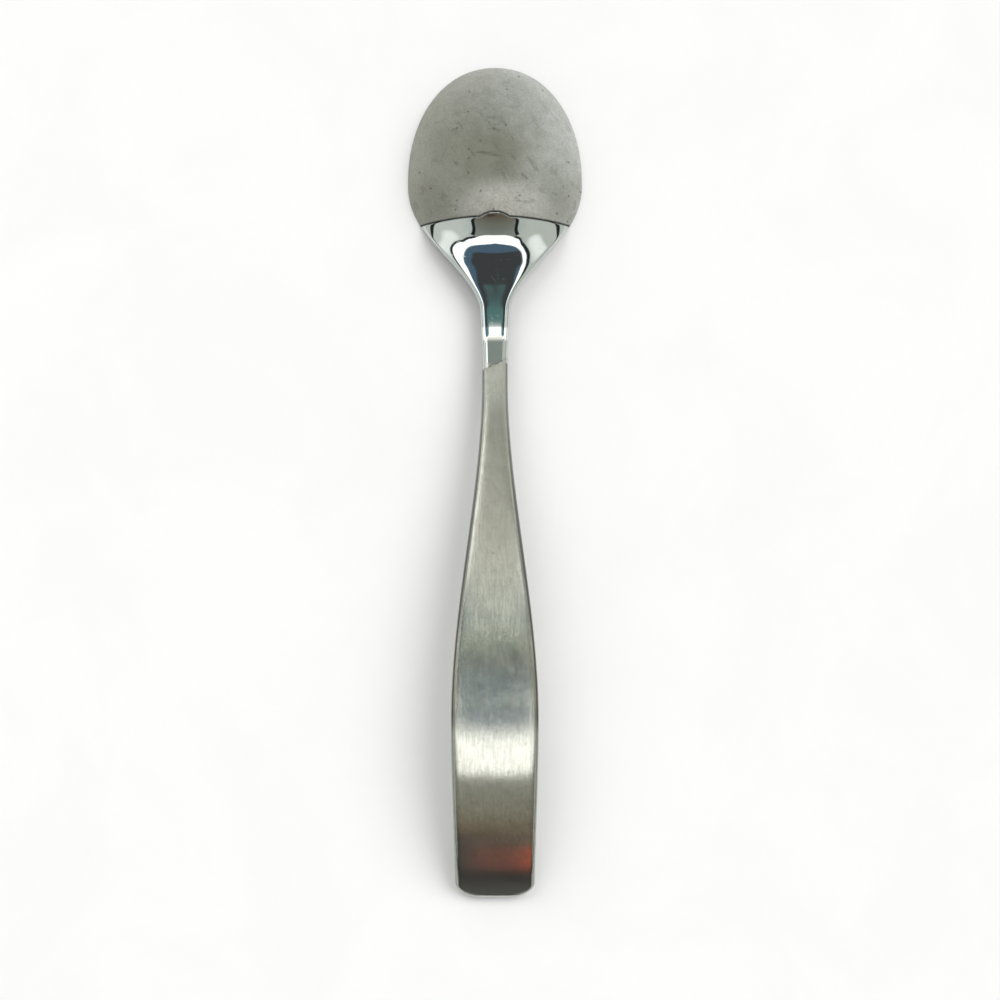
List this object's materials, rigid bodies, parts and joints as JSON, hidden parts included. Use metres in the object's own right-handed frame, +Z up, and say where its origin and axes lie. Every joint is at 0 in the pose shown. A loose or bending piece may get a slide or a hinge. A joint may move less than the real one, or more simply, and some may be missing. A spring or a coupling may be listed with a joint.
{
  "type": "spoon",
  "caption": "Steel table spoon with an egg-shaped satin bowl, a mirror-polished heel and neck, and an arched brushed handle that widens to a rounded end.",
  "frame": {"origin": "centre of the spoon's footprint, on the plane that the bowl's rim and the handle's end rest on", "axes": "+Y along the spoon towards the bowl's tip, +Z up out of the back of the bowl as the spoon lies face down, +X across it"},
  "size_m": [0.0336, 0.16, 0.0124],
  "materials": {
    "bowl_satin": "fine satin with no direction, lightly scuffed",
    "neck_polish": "mirror polish",
    "handle_brushed": "satin, brushed along the handle"
  },
  "bodies": {
    "root": {"bowl": "bowl_satin", "neck": "neck_polish", "handle": "handle_brushed"}
  },
  "joints": []
}
